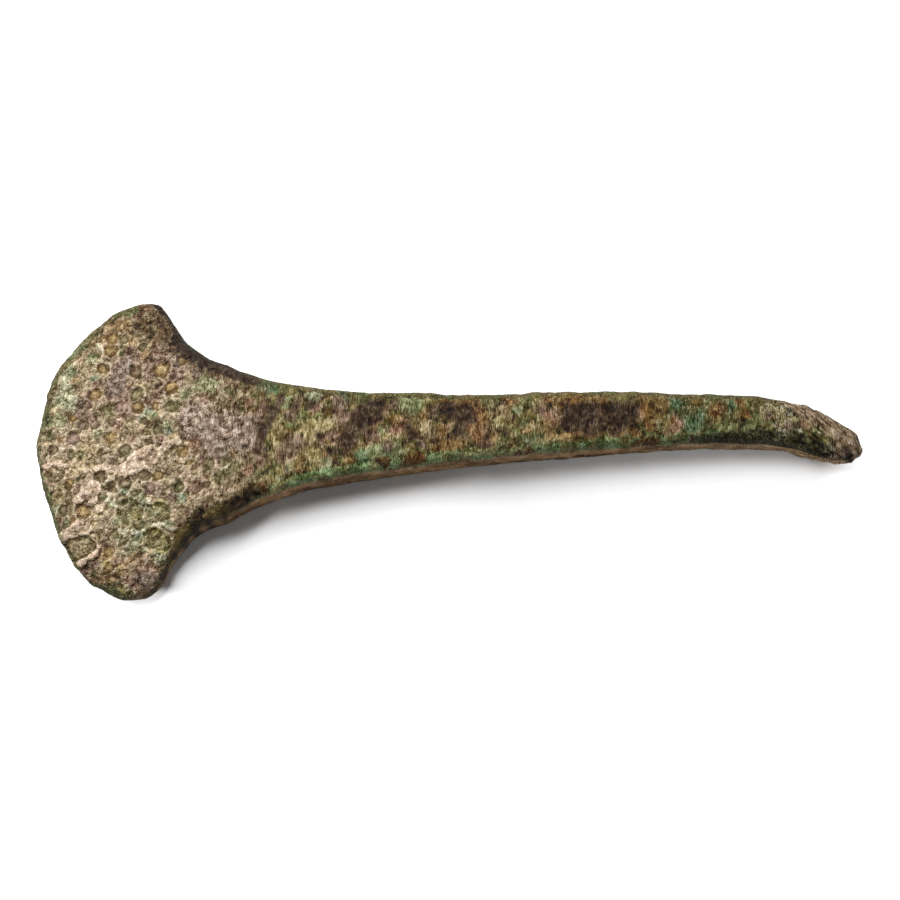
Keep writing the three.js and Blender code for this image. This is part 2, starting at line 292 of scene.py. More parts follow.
stains["plum"] = srgb(116, 90, 76), [
    (-56.5, 12.2, 1.7), (-57.4, 9.6, 1.6), (-55.4, 14.4, 1.5), (-61.6, 7.8, 1.6), (-62.6, 6, 1.1),
    (-48.6, 16.2, 1.3), (-46.2, 14.6, 1.4), (-52.6, 24, 1), (-52.8, 22.2, 0.9), (-67, -5, 1.5),
    (-63.6, 1, 1.1), (-61.6, -7.8, 1), (-52, -22.4, 1.9), (-50.4, -21.4, 1.2), (-61, -20.6, 0.9),
    (-41, -2.2, 1.6), (-50.4, -7.6, 1), (-42, -7.2, 1.3), (-55.6, 6.6, 1), (-66, -12, 1),
    (-31.2, 6.4, 1.2), (-31.8, 4.4, 1.2), (-31.6, 2.4, 1.2), (-31.8, 0.4, 1.1), (-32, -1.6, 1.1),
    (-31.6, -3.4, 1), (-26.2, -0.6, 2), (-28, -2.6, 1.4), (-22.8, 6, 0.9), (-20.6, 1, 1.2),
    (-18.4, 4.6, 1.6), (-17.6, 2.2, 1.8), (-19, 0.8, 1.2), (-2.8, 5.4, 1.3), (-7.4, 2.4, 1.1),
    (15.8, 5.6, 1), (17.8, 4.8, 1.2), (38, 5.2, 0.6), (38.4, 3.4, 0.7), (59.4, 5.8, 1.3),
    (-4.4, -0.4, 0.8), (5.4, 0.8, 1), (-53.9, 16.9, 1.2), (-53.6, 15.1, 1), (-51.5, 12.1, 1),
    (-49.1, 17.4, 1.2), (-47.1, 16.7, 1.2), (-45.2, 13.7, 1.2), (-47.1, 10.2, 0.9), (-49.1, -7.2, 1),
    (-46.4, -9, 1.2), (-54.2, 7.3, 1.2), (-63.4, -16.8, 1), (-59.3, -19.6, 1), (53.7, 4.8, 0.9),
    (57.3, 3.5, 1), (-50.4, 14, 2), (-46.4, 12.4, 1.8), (-48.4, 9.4, 1.2), (-54.6, 9.4, 1.4),
    (-52.5, 8.3, 1.4), (-50.5, 7.2, 1.2), (-54.2, 6.2, 1.2), (-40.6, 7.5, 1.4), (-60.2, 4.7, 1.2),
    (-48.3, 0.8, 1.2), (-24.6, -0.6, 1.2), (-9.2, 6.8, 1.2), (-10.7, 5.6, 1), (-12.8, 1.2, 1.5),
    (-10, -0.6, 1.2), (3.6, 3.1, 1.2), (5, 2.2, 1.2), (6.4, -0.2, 1.4), (26.7, -0.1, 1),
    (-45.7, 10.5, 1.1), (32.5, 5.5, 1), (-26.4, 4.6, 1.3), (-25.3, 7, 1), (-18.5, 7.3, 1.2),
]
stains["lilac"] = srgb(160, 140, 126), [
    (-42.6, 5, 2.7), (-40.6, 1.8, 2.7), (-38.4, -0.6, 2.2), (-44.2, 2.8, 1.7), (-36.8, 3, 2.4),
    (-34.4, 0.4, 2.2), (-33.6, 3.2, 1.6),
]
stains["grey"] = srgb(140, 124, 112), [
    (-42.8, 12.2, 1.2), (-54.4, 14.8, 1.1), (-56.3, 10.9, 1.4), (-55.4, 13, 1.4), (-57.2, 9.2, 1.1),
    (-46, 14.4, 1.2), (-51, -22.6, 1.4),
]
stains["rose"] = srgb(168, 134, 112), [
    (-42.8, -0.1, 1.5), (-33.7, 7.1, 1.2), (-33.7, -4.7, 1.2), (-8.7, 2.2, 1.4), (-7.5, 3.2, 1),
    (-0.3, 2.6, 1), (38.4, 3.5, 1.4), (37.4, 1.8, 1), (59.7, 3.7, 1.2), (-15.8, 4.5, 1.2),
    (-67.2, -4, 1.2), (17.4, 3.5, 1), (16.6, 5, 0.8),
]
stains["amber_stain"] = srgb(156, 128, 88), [
    (-58.5, 19, 1.3), (-57.5, 21.5, 1.2), (-57.3, 17, 1), (-59, 13.6, 0.9), (-60.6, 18.6, 0.9),
    (-55.4, 21.4, 1.3), (-54, 18.4, 1.3), (-46.7, 9.8, 1.1), (-63.5, 11.8, 0.9), (-59.6, 9.4, 0.8),
    (-61.6, -11, 1.2), (-63.6, -12.6, 0.9), (-57.4, -18.4, 1.3), (-55, -20.6, 1.2), (-50.2, -17.8, 0.9),
    (-58.4, -22, 0.9), (-53, -18.8, 1), (-48.4, 20, 1.2), (-50, 18.4, 0.9), (-36.2, -1.6, 0.6),
    (-51.6, 16, 1), (-66, 1.6, 0.9), (-20.4, 0, 0.6), (-1, 2.4, 1.2), (-1.4, -0.6, 1.4), (0.6, -0.6, 1.2),
    (2.4, 0, 0.9), (7.4, 1, 1), (13, 2.2, 1), (17, 1.6, 1.2), (19.6, 1.3, 1.1), (23.6, 1.9, 1.2),
    (27, 1.9, 0.9), (28.8, 1.8, 1), (31.6, 1.7, 1), (-4.4, 5, 1.1), (-9.2, 4.2, 1.2), (16.4, 3.4, 1.2),
    (37.6, 4, 0.6), (26.4, 7.3, 0.9), (18.6, 6.8, 1.2), (27.7, 1.4, 1.1), (-6.6, 1.8, 1.4),
    (-16.5, -3.4, 1),
]
stains["gold"] = srgb(128, 102, 62), [
    (-51.7, 21.5, 1.5), (-56.6, -22, 1.2), (-0.7, 6.7, 1), (1.9, 7.3, 1.2), (3.9, 7.5, 1),
    (20.6, 7.6, 1.2), (22.9, 7.8, 1.2), (25.3, 7.8, 1.2), (32.9, 7.3, 1.4), (34, 5.2, 1.5),
    (33.8, 3.1, 1.3), (41.8, 7.2, 1), (50.3, 5, 0.9), (-17.7, 1.8, 1), (-25.3, -4.1, 1.2),
    (-16.5, -3.7, 1.2), (8.2, -1.9, 1), (36.2, 6, 1.2),
]
stains["rust"] = srgb(112, 76, 42), [
    (33.2, 5.4, 0.9), (33.4, 3.2, 0.8), (4.6, 5.4, 1.8), (4.6, 3.2, 1.6), (4.8, 1.2, 1.1), (45, 5.6, 1.5),
    (46.2, 6.6, 1), (49.8, 5.2, 1.1), (21, 7.5, 1.2), (16.8, 7.4, 1), (-11.4, 6.2, 1.2),
    (-50.4, -7.4, 0.5), (-36.2, -1.6, 0.5), (41, 1, 0.6), (-20.6, -2, 0.8), (30.6, 2.4, 0.8),
    (49, 7.4, 0.9), (10.2, 6.8, 1), (-33, -8.5, 1.2), (-31.1, -7.5, 1.2), (-4.9, -2.4, 1.2),
    (-6.6, -3.1, 1.2), (13.6, -1.6, 1.1), (11.7, -1.8, 1), (32.5, 0.1, 1.4), (34.5, 0.4, 1.4),
    (30.8, -0.6, 1), (-10.9, -3.3, 1.2), (-55.6, 23.8, 1.2), (-53.6, 24.2, 1.2), (-51.5, 24.2, 1),
]
stains["straw"] = srgb(166, 150, 106), [
    (-29.6, 4.6, 1.2), (-24.4, 2.4, 1.4), (-22.2, 2.6, 1.4), (-20, 2.9, 1.1), (-23, 1.4, 1.1),
    (-22.2, -3, 1.5), (-24.2, -1.6, 1.1), (-29.6, -6.2, 0.9), (-29.8, 1, 0.9), (-49.8, -15.6, 1.4),
    (-54, -13, 0.9), (-48.4, -12, 0.8), (8.6, 4, 1.2), (15.6, 2.6, 1), (-48.7, 13.2, 0.9),
    (-57.4, 1.5, 0.8), (-52.6, 6.9, 0.7), (-54.4, -23.6, 0.7), (58.2, 4.4, 0.6), (-10.6, 0.8, 0.9),
]
stains["umber"] = srgb(60, 43, 29), [
    (-13.2, 5.5, 1.5), (-15, 4.9, 1.5), (-14.9, 3.2, 1.5), (-16.8, 1.2, 1.4), (-17, -0.6, 1.3),
    (-6.9, 2.6, 1.1), (-6, 1, 0.9), (-2.2, 0.6, 0.8), (-0.8, 5.8, 1.2), (0.6, 5.3, 1.5), (2.3, 4.2, 1.4),
    (1.6, 1.9, 1), (2.8, 5.9, 1.2), (19.8, 5.4, 1.1), (19.6, 3.6, 1.1), (21.1, 5.8, 1.5), (21.1, 3.4, 1.4),
    (23.5, 5.8, 1.5), (23.5, 3.4, 1.4), (25.8, 5.8, 1.5), (25.8, 3.4, 1.4), (28.2, 6, 1.5),
    (28.2, 3.6, 1.4), (30.4, 5.8, 1.4), (30.4, 3.6, 1.2), (24, 2, 0.9), (27.7, 1.9, 1), (3.9, 4, 0.9),
    (2, 1.5, 1), (-28.2, 7.5, 1), (-29.1, 5.8, 1), (-29.9, 4, 1), (-30.9, 2.5, 1), (-31.6, 1.1, 0.9),
    (-11.9, 6.3, 1.1), (-12.4, 4.2, 1.1), (-11.4, 7.4, 0.9), (-21.6, 0.9, 0.8), (-19.6, -1.8, 0.8),
    (-25.6, 6, 0.9), (9.9, 1.6, 0.7), (-30.8, 5.6, 0.8), (-32.4, -1.4, 0.8), (58.8, 3.4, 0.8),
    (-11.6, -3.6, 1), (6.2, 1, 0.7), (-27, -4.6, 0.6), (41, 0.9, 0.7),
]
# Small black pits along the lower shoulder
black_pits = [
    (-36, -10.2, 0.5), (-35.2, -9.7, 0.6), (-33.6, -9.1, 0.7), (-32.2, -8.8, 0.5), (-41.5, -11.7, 0.5),
]
# Painted shade on the side wall: at the tip of the butt and in the hollow of the lower shoulder
wall_shade = [
    (66.5, -0.5, 0.9), (67.8, -1.4, 1), (-46.4, -18, 1), (-44.6, -16, 1), (-42.4, -14.4, 1),
    (-40.2, -12.9, 0.9), (-37.8, -11.7, 0.8),
]
# Pale crust round the bend of the butt, down to its tip
butt_crust = [
    (57.4, 7.4, 1.2), (59.4, 6.6, 1.4), (61.6, 5.4, 1.7), (63.9, 3.8, 2), (66.3, 1.9, 2), (68.4, 0, 1.8),
]
# Where painted glints, white specks and curls, lie on the butt's crust
glint_spots = [(55.4, 5.7, 1.7), (57.1, 4.3, 1.5), (56.3, 2.6, 1.4), (53.7, 6, 1.4), (59.4, 2.4, 0.7)]
# Swells and dents of the outline: x, y, radius and how far it moves outwards, and how far in they reach
outline_swells = [
    (-67.2, -12, 3, -0.28), (-65.2, -16.6, 3, -0.34), (-63.2, -20, 2.6, -0.3), (-46.4, 20, 3.2, 0.4),
    (-42.6, 16.2, 1.8, 0.3), (67.4, -2.4, 1.7, 0.7), (69.3, -2.2, 1, 0.45), (57.9, 8, 0.9, -0.2),
    (54.6, 9.6, 1.2, -0.15), (-67.4, 12, 2.4, 0.3), (-3.2, 9.2, 3, 0.3), (30.8, 9.4, 3.5, 0.35),
    (-12.9, 9, 2.4, -0.15), (11.2, 9, 2.4, -0.2), (60.4, 7.4, 1, 0.25), (70.3, 0.6, 0.9, -0.3),
    (-48.2, -22.3, 2.6, 0.45), (-45.4, -17.4, 2.4, 0.3), (-65.3, 15.2, 1.6, 0.3),
]
swell_reach = 5

# How high blobs stand where a shape's rim starts and where it ends
hollow_rim = (0.3, 0.45)
plate_rim = (0.33, 0.42)
soft_rim = (0.3, 0.5)
hollow = soft_step(*hollow_rim, blobs(hollows))
stain_fields = {name: blobs(spots) for name, (_, spots) in stains.items()}
plate = soft_step(*plate_rim, blobs(crust_plates))
lip = soft_step(*soft_rim, blobs(crust_lip))
ledge = soft_step(*soft_rim, blobs(pale_ledges))
mauve, lilac = stain_fields["plum"] * on_blade, stain_fields["lilac"]
black = soft_step(*soft_rim, blobs(black_pits))

# The placed pits: the name and colour of their floors, their spots, and how deep they are and how high
# their domes are, as shares of the radius
placed_kinds = [
    ("amber", srgb(160, 132, 90), amber_domes, 0.34, 0.34),
    ("green_floor", srgb(132, 124, 88), green_pits, 0.32, 0.26),
    ("mauve_floor", srgb(146, 122, 106), mauve_rings, 0.26, 0.34),
    ("brown_floor", srgb(120, 100, 72), brown_pits, 0.34, 0.16),
]
placed_pits = [spot for _, _, kind_spots, _, _ in placed_kinds for spot in kind_spots]

# Smaller pits are scattered at random, close together on the blade and sparse and faint on the shank
pit_tries = 2200
pits_along = (-68.5, 62)
pits_across = (-24.5, 24.5)
least_pit = 0.3
pit_growth = 0.6
pit_spacing = 0.95
shank_start = -32
shank_pits_left_out = 0.8
pit_random = random.Random(11)
small_pits = []
for _ in range(pit_tries):
    x = pit_random.uniform(*pits_along)
    y = pit_random.uniform(*pits_across)
    radius = least_pit + pit_growth * pit_random.random() ** 2
    if x > shank_start and pit_random.random() < shank_pits_left_out:
        continue
    taken = [*placed_pits, *small_pits]
    if all(math.hypot(x - px, y - py) > (radius + pr) * pit_spacing for px, py, pr in taken):
        small_pits.append((x, y, radius))

beyond_all_pits = 9.0
tinted_reach = 1.1
nearness = np.full(len(skin), beyond_all_pits)
pit_depth = np.zeros(len(skin))
pit_dome = np.zeros(len(skin))
pit_lean = np.zeros(len(skin))
pit_tints = {name: np.zeros(len(skin)) for name, *_ in placed_kinds}


def cut_pit(x, y, radius, depth_share, dome_share, floor_name=None):
    """Lets one round pit own the skin that lies nearest to it. Depth and dome are shares of its radius."""
    distance = np.hypot(face_x - x, face_y - y) / radius
    owned = distance < nearness
    nearness[owned] = distance[owned]
    pit_depth[owned] = depth_share * radius
    pit_dome[owned] = dome_share * radius
    pit_lean[owned] = ((x - face_x + face_y - y) / radius / math.sqrt(2))[owned]
    inside = owned & (distance < tinted_reach)
    for name, values in pit_tints.items():
        values[inside] = 1.0 if name == floor_name else 0.0


small_pit_strengths = (0.15, 0.8)
small_pit_power = 1.5
small_pit_depth = 0.4
small_pit_dome = 0.3
shank_pit_strength = 0.6
for x, y, radius in small_pits:
    strength = pit_random.uniform(*small_pit_strengths) ** small_pit_power
    strength *= 1 if x < shank_start else shank_pit_strength
    cut_pit(x, y, radius, small_pit_depth * strength, small_pit_dome * strength)
for floor_name, _, kind_spots, depth_share, dome_share in placed_kinds:
    for x, y, radius in kind_spots:
        cut_pit(x, y, radius, depth_share, dome_share, floor_name)

# Pits are cut into the open face, away from its rim, and hardly into lilac crust, plates and the lip
open_slopes = (0.6, 0.85)
pit_insets = (0.5, 1.6)
lilac_cover = 0.85
plate_cover = 0.9
open_face = soft_step(*open_slopes, outward[:, 2]) * soft_step(*pit_insets, inset)
open_face *= 1 - lilac_cover * lilac.clip(0, 1)
open_face *= 1 - plate_cover * np.maximum(plate, lip)

# Where a pit's wall starts and ends and where its dome ends, as shares of its radius, and how they wobble
pit_wall = (0.72, 1.0)
dome_edge = 0.8
fine_wobble = 0.25
coarse_wobble = 0.2
wobble = nearness + fine_wobble * fine_warp[0] + coarse_wobble * coarse_warp[1]
pit_floor = (1 - soft_step(*pit_wall, wobble)) * open_face
dome = (1 - (wobble / dome_edge) ** 2).clip(0, 1) * open_face

# The shoulder between horn and neck, a dark band on the side that faces away from the lamp, which narrows
# towards both horns, and painted shade inside it
shoulder_facings = (0.05, 0.3)
shoulder_places = (29, 33)
shoulder_widest = 2.4
shoulder_narrowing = 1.5
upper_narrowing = (17, 22)
lower_narrowing = (14, 20)
shoulder_edge = (0.7, 1.1)
shoulder_shade_insets = (0.8, 4.5)
shoulder_shade_shift = 0.8
shoulder_shade_loss = 0.8
shoulder_shade_loss_places = (14, 18)
shoulder_side = soft_step(*shoulder_facings, -to_tip) * soft_step(*shoulder_places, -along)
shoulder_width = shoulder_widest - shoulder_narrowing * soft_step(*upper_narrowing, across)
shoulder_width -= shoulder_narrowing * soft_step(*lower_narrowing, -across)
shoulder = (1 - soft_step(*shoulder_edge, ragged_inset / shoulder_width)) * shoulder_side
shoulder_shade = (1 - soft_step(*shoulder_shade_insets, inset + shoulder_shade_shift * coarse_warp[1])) * shoulder_side
shoulder_shade *= 1 - shoulder_shade_loss * soft_step(*shoulder_shade_loss_places, -across)

# Crust is thickest on the blade, and thinner on the shank, the butt, the shoulder and at every rim
shank_crust = 0.5
blade_more = 0.5
butt_less = 0.15
shoulder_less = 0.65
rim_crust = 0.4
crust_insets = (0.2, 1.4)
crust_share = (shank_crust + blade_more * on_blade - butt_less * on_butt) * (1 - shoulder_less * shoulder)
crust_share *= rim_crust + (1 - rim_crust) * soft_step(*crust_insets, inset)

# Ridges run along the bent butt, and flakes of crust end in small steps between two values of their noise
butt_bend = math.radians(38)
along_butt = along * math.cos(butt_bend) - across * math.sin(butt_bend)
beside_butt = along * math.sin(butt_bend) + across * math.cos(butt_bend)
butt_points = np.stack([along_butt, beside_butt, height], 1)
ridges = grain(size=0.8, octaves=2, seed=12, points=butt_points, stretch=(6, 1, 1))
flake_step = (-0.05, 0.05)
second_flake_step = (0.08, 0.18)
flake_field = grain(size=1.9, octaves=4, seed=7)
flakes = soft_step(*flake_step, flake_field)
second_flakes = soft_step(*second_flake_step, grain(size=1.2, octaves=3, seed=8))
grit = grain(size=0.55, octaves=3, seed=9)
coarse_grit = grain(size=1.1, octaves=3, seed=10)
creases = np.abs(grain(size=0.9, octaves=2, seed=11))

# Heights of the relief in millimetres: waves, which are lower at the rim, flakes, grit, pits and plates
wave_height = 0.3
lump_height = 0.4
rim_waves = 0.35
wave_insets = (0.2, 2.2)
flake_height = 0.16
second_flake_height = 0.1
grit_height = 0.08
coarse_grit_height = 0.14
crease_depth = 0.07
hollow_depth = 0.4
plate_height = 0.2
lip_height = 0.55
ledge_height = 0.2
mauve_height = 0.16
lilac_height = 0.12
lilac_grit_height = 0.05
black_pit_depth = 0.2
ridge_height = 0.34
wall_wave_height = 0.2

relief = wave_height * grain(size=7, octaves=2, seed=5) + lump_height * grain(size=2.6, octaves=3, seed=6)
relief *= rim_waves + (1 - rim_waves) * soft_step(*wave_insets, inset)
relief += flake_height * (flakes - 0.5) * crust_share
relief += second_flake_height * second_flakes * crust_share
relief += (grit_height * grit + coarse_grit_height * coarse_grit - crease_depth * creases) * crust_share
relief -= pit_depth * pit_floor
relief += pit_dome * dome
relief -= hollow_depth * hollow * (1 - plate)
relief += plate_height * plate + lip_height * lip + ledge_height * ledge
relief += mauve_height * mauve.clip(0, 1)
relief += (lilac_height + lilac_grit_height * coarse_grit) * lilac.clip(0, 1)
relief -= black_pit_depth * black
relief += ridge_height * ridges * on_butt
relief += wall_wave_height * grain(size=4.5, octaves=2, seed=13) * side_wall

# The underside only loses metal, so that the chisel still rests where the casting does
relief = np.where(facing_down > 0.5, -np.abs(relief), relief)
shaped = skin + outward * relief[:, None]
for x, y, radius, amount in outline_swells:
    nearby = np.exp(-((along - x) ** 2 + (across - y) ** 2) / radius**2)
    nearby *= 1 - soft_step(0, swell_reach, inset)
    shaped[:, :2] += side_facing * (amount * nearby)[:, None]
shaped[:, 2] = np.maximum(shaped[:, 2], 0)
casting.data.vertices.foreach_set("co", (shaped * MM).astype(np.float32).ravel())
casting.data.update()

edges = np.zeros(len(casting.data.edges) * 2, np.int64)
casting.data.edges.foreach_get("vertices", edges)
edge_start, edge_end = edges.reshape(-1, 2).T


def spread(values, rounds):
    """Averages a value with its neighbours on the mesh, some times over."""
    count = np.bincount(edges, minlength=len(values))
    for _ in range(rounds):
        total = np.bincount(edge_start, values[edge_end], len(values))
        total += np.bincount(edge_end, values[edge_start], len(values))
        values = (values + total) / (count + 1)
    return values


# Where the sides, the horns, the streaks, the far end of the shank and the butt's tip begin, and where
# the patina of the walls that the camera doesn't see ends. Places are in millimetres.
side_facings = (0.2, 0.6)
tip_facings = (0.05, 0.4)
upper_horn_across = (14, 21)
upper_horn_along = (-58, -49)
lower_horn_across = (18, 24)
streaks_along = (-47, -38)
far_along = (36, 44)
butt_tip_along = (62, 67)
other_walls_along = (-64, -52)
lower_side = soft_step(*side_facings, -to_top)
upper_side = soft_step(*side_facings, to_top)
tip_side = soft_step(*tip_facings, to_tip) * on_blade
upper_horn = soft_step(*upper_horn_across, across) * soft_step(*upper_horn_along, along)
lower_horn = soft_step(*lower_horn_across, -across)

# The bands along the edges in millimetres. The lower one is wider towards the butt, and has gaps
lower_band_least = 1.1
lower_band_more = 0.7
lower_band_widens = (42, 50)
lower_band_fade = 0.9
gap_along = (-31, -37)
gap_share = 0.6
rust_gap_share = 0.8
upper_band_insets = (0.8, 1.7)
tip_band_insets = (0.4, 1.2)
tip_band_more = 1.0
band_width = lower_band_least + lower_band_more * soft_step(*lower_band_widens, along)
band_gaps = (stain_fields["rust"] + gap_share * soft_step(*gap_along, along)).clip(0, 1)
band_place = (1 - on_blade) * (1 - rust_gap_share * band_gaps)
lower_band = 1 - soft_step(0, 1, (ragged_inset - band_width) / lower_band_fade)
upper_band = 1 - soft_step(*upper_band_insets, ragged_inset)
tip_band = 1 - soft_step(*tip_band_insets, ragged_inset - tip_band_more * to_top.clip(0, 1))

# How many rounds of spreading find small cavities and wide hollows, for the painted shade in them and the
# painted highlight on the bumps between, and how deep a full one is
cavity_rounds = 8
cavity_depth = 0.14
deep_rounds = 50
deep_depth = 0.3
full_pit_depth = 0.22
lip_share = 0.8
farthest_edge = 2
edge_wobble = 0.2

masks = {
    "along_blade": on_blade,
    "pit_edge": np.minimum(nearness, farthest_edge) + edge_wobble * coarse_warp[1],
    "pit_strength": open_face * (pit_depth / full_pit_depth).clip(0, 1),
    "pit_lean": pit_lean.clip(-1, 1),
    "flake": flake_field,
    **pit_tints,
    **stain_fields,
    "plate": np.maximum(plate, lip * lip_share),
    "ledge": ledge,
    "hollow": hollow,
    # The black pits, and the painted shade on the side wall
    "black": np.maximum(black, blobs(wall_shade, 1)),
    "pale": np.maximum(blobs(butt_crust), soft_step(*butt_tip_along, along)),
    "white": blobs(glint_spots),
    "painted_cavity_shade": (spread(relief, cavity_rounds) - relief) / cavity_depth,
    "painted_hollow_shade": (spread(relief, deep_rounds) - relief) / deep_depth,
    "lower_band": lower_band * lower_side * band_place,
    "upper_band": upper_band * upper_side * (1 - on_blade),
    "tip_band": tip_band * tip_side,
    "shoulder": shoulder,
    "lower_side": lower_side,
    "other_walls": np.maximum(1 - lower_side, tip_side) * soft_step(*other_walls_along, -along),
    "shoulder_shade": shoulder_shade,
    "streaky": soft_step(*streaks_along, along),
    "upper_horn": upper_horn * on_blade,
    "lower_horn": lower_horn * on_blade,
    "up": facing_up,
    "far": soft_step(*far_along, along),
}
for name, values in masks.items():
    attribute = casting.data.attributes.new(name, "FLOAT", "POINT")
    attribute.data.foreach_set("value", values.astype(np.float32))


# The colour sockets of a Mix node by number, because several of its sockets share a name
mix_share = 0
mix_under = 6
mix_over = 7
mix_result = 2


class Shade:
    """A socket of a node tree. Sums on it add Math nodes."""

    def __init__(self, socket):
        self.socket = socket

    def node(self, kind, settings, inputs, output=0):
        """Adds a shader node: its settings are set first, then its sockets' values or links."""
        tree = self.socket.id_data
        made = tree.nodes.new("ShaderNode" + kind)
        for name, value in settings.items():
            setattr(made, name, value)
        for name, value in inputs.items():
            if isinstance(value, Shade):
                tree.links.new(value.socket, made.inputs[name])
            else:
                made.inputs[name].default_value = value
        return Shade(made.outputs[output])

    def math(self, operation, first, second):
        return self.node("Math", {"operation": operation}, {0: first, 1: second})

    def __add__(self, other):
        return self.math("ADD", self, other)

    __radd__ = __add__

    def __sub__(self, other):
        return self.math("SUBTRACT", self, other)

    def __rsub__(self, other):
        return self.math("SUBTRACT", other, self)

    def __mul__(self, other):
        return self.math("MULTIPLY", self, other)

    __rmul__ = __mul__

    def step(self, low, high, start=0.0, end=1.0):
        """Rises smoothly from start to end as this value goes from low to high."""
        settings = {"interpolation_type": "SMOOTHSTEP"}
        inputs = {"Value": self, "From Min": low, "From Max": high, "To Min": start, "To Max": end}
        return self.node("MapRange", settings, inputs)

    def mix(self, share, colour, way="MIX"):
        """This colour with another laid over it."""
        settings = {"data_type": "RGBA", "blend_type": way}
        inputs = {mix_share: share, mix_under: self, mix_over: colour}
        return self.node("Mix", settings, inputs, mix_result)

    def vector(self, operation, *others):
        """Adds a Vector Math node on this and the other values."""
        return self.node("VectorMath", {"operation": operation}, dict(enumerate([self, *others])))


patina = bpy.data.materials.new("corroded_bronze")
patina.use_nodes = True
tree = patina.node_tree
surface = tree.nodes["Principled BSDF"]
coordinates = tree.nodes.new("ShaderNodeTexCoord")
place = Shade(coordinates.outputs["Object"])


def speckle(size, detail, roughness, seed, where=place):
    """Noise with lumps of that size in millimetres."""
    seed_distance = 3.7
    inputs = {"Vector": where, "W": seed * seed_distance, "Scale": 1 / (size * MM)}
    inputs.update({"Detail": detail, "Roughness": roughness})
    return place.node("TexNoise", {"noise_dimensions": "4D"}, inputs)


def warped(size, shift):
    """The place, moved about by noise with lumps of that size. Both are in millimetres."""
    moves = place.node("TexNoise", {}, {"Vector": place, "Scale": 1 / (size * MM)}, "Color")
    return moves.vector("MULTIPLY_ADD", (shift * MM, shift * MM, shift * MM), place)


def cells(size):
    """Rounded cells of that size in millimetres: a random tint for each, and the distance to its edge."""
    inputs = {"Vector": crinkled, "Scale": 1 / (size * MM)}
    tint = place.node("TexVoronoi", {}, inputs, "Color")
    return tint, place.node("TexVoronoi", {"feature": "DISTANCE_TO_EDGE"}, inputs)


def channel(tint, name):
    return place.node("SeparateColor", {}, {"Color": tint}, name)


def mask(name):
    return place.node("Attribute", {"attribute_name": name}, {}, "Fac")


streak_squeeze = (1.0, 0.16, 0.6)
stripe_squeeze = (0.2, 1.0, 1.0)
grit_speckle = speckle(size=0.5, detail=3.0, roughness=0.75, seed=4)
dust = speckle(size=0.15, detail=0.7, roughness=0.6, seed=5)
streak_place = warped(3, 1).vector("MULTIPLY", streak_squeeze)
streaks = speckle(size=0.17, detail=1.5, roughness=0.6, seed=6, where=streak_place)
butt_turn = {"Vector": place, "Angle": butt_bend}
butt_place = place.node("VectorRotate", {"rotation_type": "Z_AXIS"}, butt_turn)
stripe_place = butt_place.vector("MULTIPLY", stripe_squeeze)
stripes = speckle(size=0.4, detail=2.0, roughness=0.6, seed=12, where=stripe_place)
spots = speckle(size=1.3, detail=3.0, roughness=0.6, seed=3)
crinkled = warped(0.7, 0.5)
blister_tint, blister_edge = cells(1.3)
blister_red = channel(blister_tint, "Red")
blister_green = channel(blister_tint, "Green")
pebble_tint, pebble_edge = cells(0.62)
pebble_red = channel(pebble_tint, "Red")
patch_kinds = [(3.4, 2), (4.2, 7), (3.0, 8), (5.5, 9), (3.8, 10)]
patches = [speckle(size=size, detail=3.0, roughness=0.6, seed=seed) for size, seed in patch_kinds]
blade = mask("along_blade")
streaky = mask("streaky")

tan = srgb(166, 148, 116)
pink_tan = srgb(160, 136, 114)
light_tan = srgb(186, 168, 138)
olive_tan = srgb(130, 124, 86)
warm_brown = srgb(142, 114, 84)
shank_olive = srgb(112, 104, 62)
shank_brown = srgb(112, 86, 52)
shank_green = srgb(84, 98, 54)
shank_tan = srgb(142, 126, 82)
shank_dark = srgb(66, 54, 30)
amber_light = srgb(186, 164, 114)
hollow_green = srgb(142, 136, 100)
yellow_olive = srgb(156, 140, 96)
pink_cream = srgb(216, 190, 166)
ledge_cream = srgb(196, 188, 160)
line_brown = srgb(52, 38, 24)
crack_brown = srgb(116, 84, 62)
pit_shadow_brown = srgb(86, 66, 44)
pit_highlight_cream = srgb(204, 190, 158)
blister_pink = srgb(176, 142, 124)
blister_olive = srgb(124, 116, 78)
blister_cream = srgb(196, 180, 148)
shoulder_brown = srgb(50, 36, 24)
shoulder_olive = srgb(108, 92, 52)
band_olive = srgb(92, 82, 44)
band_green = srgb(78, 102, 60)
teal = srgb(164, 188, 138)
deep_green = srgb(112, 130, 80)
bevel_brown = srgb(142, 116, 74)
horn_brown = srgb(84, 64, 36)
shoulder_shade_brown = srgb(86, 66, 42)
bounce_side_brown = srgb(208, 170, 130)
side_dark = srgb(142, 112, 78)
bounce_side_light = srgb(230, 196, 156)
butt_grey = srgb(164, 142, 118)
butt_dark = srgb(58, 56, 32)
glint_white = srgb(214, 208, 186)
hair_glint_tan = srgb(156, 130, 104)


def blend(share, first, second):
    inputs = {mix_share: share, mix_under: first, mix_over: second}
    return place.node("Mix", {"data_type": "RGBA"}, inputs, mix_result)


def ragged(name, coarse=1.0, thin=0.4):
    """A mask broken up by coarse speckle and thin grit, and on the shank by thin streaks as well."""
    streak_break = 1.6
    broken = mask(name) + (spots - 0.5) * (1 - 0.5 * streaky) * coarse + (grit_speckle - 0.5) * thin
    return broken + (streaks - 0.5) * streaky * streak_break


def coated(base, coats):
    """Lays coats over a colour, one after another.

    Each has a pattern, the values of it where the coat starts and is full, its cover and its tint.
    """
    for pattern, low, high, cover, tint in coats:
        base = base.mix(pattern.step(low, high) * cover, tint)
    return base


# Noise lies round 0.5, so this step of it covers half of the skin
half = (0.4, 0.6)

